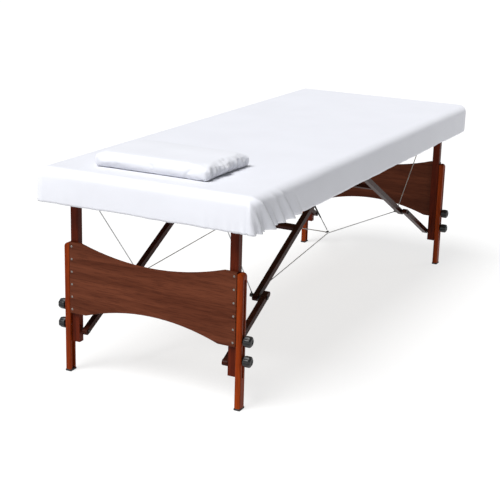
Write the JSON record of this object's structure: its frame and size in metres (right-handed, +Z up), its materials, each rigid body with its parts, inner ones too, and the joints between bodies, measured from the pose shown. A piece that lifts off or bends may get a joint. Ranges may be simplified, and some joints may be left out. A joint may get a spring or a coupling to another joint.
{
  "type": "portable massage table",
  "caption": "Folding wooden massage table with a fitted sheet and small pillow, cable-braced legs and slotted height-adjusting extensions.",
  "frame": {"origin": "on the floor under the middle of the centre hinge, centre of the footprint", "axes": "+X along the table towards the foot end (the pillow lies at -X), +Y across it to the left side, +Z up"},
  "size_m": [1.88, 0.736, 0.7143],
  "materials": {
    "frame_wood": "dark red mahogany stain, satin lacquer",
    "leg_wood": "dark red mahogany stain, satin lacquer",
    "panel_wood": "dark red mahogany stain, satin lacquer, grain across",
    "plywood": "unfinished birch ply",
    "pad_foam": "foam under smooth upholstery",
    "sheet_cotton": "white brushed cotton",
    "pillow_cotton": "white cotton cover",
    "rod_steel": "bright zinc plate",
    "bolt_black": "black oxide",
    "hinge_brass": "satin",
    "knob_plastic": "black moulded plastic",
    "cable_steel": "grey coated wire rope"
  },
  "bodies": {
    "frame_head": {"side_rail_head_left": "frame_wood", "side_rail_head_right": "frame_wood", "end_rail_head": "frame_wood", "centre_rail_head": "frame_wood", "deck_head": "plywood", "pad_head": "pad_foam", "sheet_head": "sheet_cotton", "hinge_leaf_head": "hinge_brass", "leg_rod_head": "rod_steel", "brace_rod_head": "rod_steel", "leg_cable_head_left": "cable_steel", "leg_cable_head_right": "cable_steel", "side_cable_left": "cable_steel", "side_cable_right": "cable_steel", "yoke_cable": "cable_steel"},
    "legs_head": {"leg_head_left": "leg_wood", "leg_head_right": "leg_wood", "end_panel_head": "panel_wood"},
    "upper_brace_head": {"upper_brace_head_left": "leg_wood", "upper_brace_head_right": "leg_wood", "cross_bar_head": "leg_wood", "knee_bolt_head_left": "bolt_black", "knee_bolt_head_right": "bolt_black"},
    "lower_brace_head_left": {"lower_brace_head_left": "leg_wood"},
    "extension_head_left": {"extension_head_left": "leg_wood"},
    "knob_head_left_upper": {"knob_head_left_upper": "knob_plastic"},
    "knob_head_left_lower": {"knob_head_left_lower": "knob_plastic"},
    "lower_brace_head_right": {"lower_brace_head_right": "leg_wood"},
    "extension_head_right": {"extension_head_right": "leg_wood"},
    "knob_head_right_upper": {"knob_head_right_upper": "knob_plastic"},
    "knob_head_right_lower": {"knob_head_right_lower": "knob_plastic"},
    "frame_foot": {"side_rail_foot_left": "frame_wood", "side_rail_foot_right": "frame_wood", "end_rail_foot": "frame_wood", "centre_rail_foot": "frame_wood", "deck_foot": "plywood", "pad_foot": "pad_foam", "sheet_foot": "sheet_cotton", "hinge_leaf_foot": "hinge_brass", "leg_rod_foot": "rod_steel", "brace_rod_foot": "rod_steel", "leg_cable_foot_left": "cable_steel", "leg_cable_foot_right": "cable_steel"},
    "legs_foot": {"leg_foot_left": "leg_wood", "leg_foot_right": "leg_wood", "end_panel_foot": "panel_wood"},
    "upper_brace_foot": {"upper_brace_foot_left": "leg_wood", "upper_brace_foot_right": "leg_wood", "cross_bar_foot": "leg_wood", "knee_bolt_foot_left": "bolt_black", "knee_bolt_foot_right": "bolt_black"},
    "lower_brace_foot_left": {"lower_brace_foot_left": "leg_wood"},
    "extension_foot_left": {"extension_foot_left": "leg_wood"},
    "knob_foot_left_upper": {"knob_foot_left_upper": "knob_plastic"},
    "knob_foot_left_lower": {"knob_foot_left_lower": "knob_plastic"},
    "lower_brace_foot_right": {"lower_brace_foot_right": "leg_wood"},
    "extension_foot_right": {"extension_foot_right": "leg_wood"},
    "knob_foot_right_upper": {"knob_foot_right_upper": "knob_plastic"},
    "knob_foot_right_lower": {"knob_foot_right_lower": "knob_plastic"},
    "pillow": {"pillow": "pillow_cotton"}
  },
  "joints": [
    {"name": "centre_fold", "type": "hinge", "parent": "frame_head", "child": "frame_foot", "pos_m": [0, 0, 0.5575], "axis": [0, 1, 0], "range_deg": [0, 100], "deforming": ["side_cable_left", "side_cable_right"]},
    {"name": "leg_fold_head", "type": "hinge", "parent": "frame_head", "child": "legs_head", "pos_m": [-0.8673, 0, 0.5786], "axis": [0, -1, 0], "range_deg": [0, 90], "deforming": ["leg_cable_head_left", "leg_cable_head_right", "side_cable_left", "side_cable_right"]},
    {"name": "upper_brace_fold_head", "type": "hinge", "parent": "frame_head", "child": "upper_brace_head", "pos_m": [-0.0399, 0, 0.5812], "axis": [0, 1, 0], "range_deg": [0, 29.82], "deforming": ["leg_cable_head_left", "leg_cable_head_right", "side_cable_left", "side_cable_right"]},
    {"name": "lower_brace_fold_head_left", "type": "hinge", "parent": "legs_head", "child": "lower_brace_head_left", "pos_m": [-0.86, 0.2495, 0.1373], "axis": [0, -1, 0], "range_deg": [0, 59.35]},
    {"name": "lower_brace_fold_head_right", "type": "hinge", "parent": "legs_head", "child": "lower_brace_head_right", "pos_m": [-0.86, -0.2495, 0.1373], "axis": [0, -1, 0], "range_deg": [0, 59.35]},
    {"name": "height_head_left", "type": "slide", "parent": "legs_head", "child": "extension_head_left", "axis": [0, 0, -1], "range_m": [-0.05, 0.18]},
    {"name": "knob_turn_head_left_upper", "type": "hinge", "parent": "legs_head", "child": "knob_head_left_upper", "pos_m": [-0.872, 0.32, 0.217], "axis": [0, 1, 0], "continuous": true},
    {"name": "knob_turn_head_left_lower", "type": "hinge", "parent": "legs_head", "child": "knob_head_left_lower", "pos_m": [-0.872, 0.32, 0.155], "axis": [0, 1, 0], "continuous": true},
    {"name": "height_head_right", "type": "slide", "parent": "legs_head", "child": "extension_head_right", "axis": [0, 0, -1], "range_m": [-0.05, 0.18]},
    {"name": "knob_turn_head_right_upper", "type": "hinge", "parent": "legs_head", "child": "knob_head_right_upper", "pos_m": [-0.872, -0.32, 0.217], "axis": [0, -1, 0], "continuous": true},
    {"name": "knob_turn_head_right_lower", "type": "hinge", "parent": "legs_head", "child": "knob_head_right_lower", "pos_m": [-0.872, -0.32, 0.155], "axis": [0, -1, 0], "continuous": true},
    {"name": "leg_fold_foot", "type": "hinge", "parent": "frame_foot", "child": "legs_foot", "pos_m": [0.8673, 0, 0.5786], "axis": [0, 1, 0], "range_deg": [0, 90], "deforming": ["leg_cable_foot_left", "leg_cable_foot_right", "side_cable_left", "side_cable_right"]},
    {"name": "upper_brace_fold_foot", "type": "hinge", "parent": "frame_foot", "child": "upper_brace_foot", "pos_m": [0.0399, 0, 0.5812], "axis": [0, -1, 0], "range_deg": [0, 29.82], "deforming": ["leg_cable_foot_left", "leg_cable_foot_right", "side_cable_left", "side_cable_right"]},
    {"name": "lower_brace_fold_foot_left", "type": "hinge", "parent": "legs_foot", "child": "lower_brace_foot_left", "pos_m": [0.86, 0.2495, 0.1373], "axis": [0, 1, 0], "range_deg": [0, 59.35]},
    {"name": "lower_brace_fold_foot_right", "type": "hinge", "parent": "legs_foot", "child": "lower_brace_foot_right", "pos_m": [0.86, -0.2495, 0.1373], "axis": [0, 1, 0], "range_deg": [0, 59.35]},
    {"name": "height_foot_left", "type": "slide", "parent": "legs_foot", "child": "extension_foot_left", "axis": [0, 0, -1], "range_m": [-0.05, 0.18]},
    {"name": "knob_turn_foot_left_upper", "type": "hinge", "parent": "legs_foot", "child": "knob_foot_left_upper", "pos_m": [0.872, 0.32, 0.217], "axis": [0, 1, 0], "continuous": true},
    {"name": "knob_turn_foot_left_lower", "type": "hinge", "parent": "legs_foot", "child": "knob_foot_left_lower", "pos_m": [0.872, 0.32, 0.155], "axis": [0, 1, 0], "continuous": true},
    {"name": "height_foot_right", "type": "slide", "parent": "legs_foot", "child": "extension_foot_right", "axis": [0, 0, -1], "range_m": [-0.05, 0.18]},
    {"name": "knob_turn_foot_right_upper", "type": "hinge", "parent": "legs_foot", "child": "knob_foot_right_upper", "pos_m": [0.872, -0.32, 0.217], "axis": [0, -1, 0], "continuous": true},
    {"name": "knob_turn_foot_right_lower", "type": "hinge", "parent": "legs_foot", "child": "knob_foot_right_lower", "pos_m": [0.872, -0.32, 0.155], "axis": [0, -1, 0], "continuous": true},
    {"name": "pillow_lift", "type": "slide", "parent": "frame_head", "child": "pillow", "axis": [0, 0, 1], "range_m": [0, 0.15]}
  ],
  "couplings": [
    {"joint": "upper_brace_fold_head", "follows": "leg_fold_head", "ratio": 0.33083},
    {"joint": "lower_brace_fold_head_left", "follows": "leg_fold_head", "ratio": 0.65893},
    {"joint": "lower_brace_fold_head_right", "follows": "leg_fold_head", "ratio": 0.65893},
    {"joint": "upper_brace_fold_foot", "follows": "leg_fold_foot", "ratio": 0.33083},
    {"joint": "lower_brace_fold_foot_left", "follows": "leg_fold_foot", "ratio": 0.65893},
    {"joint": "lower_brace_fold_foot_right", "follows": "leg_fold_foot", "ratio": 0.65893}
  ]
}
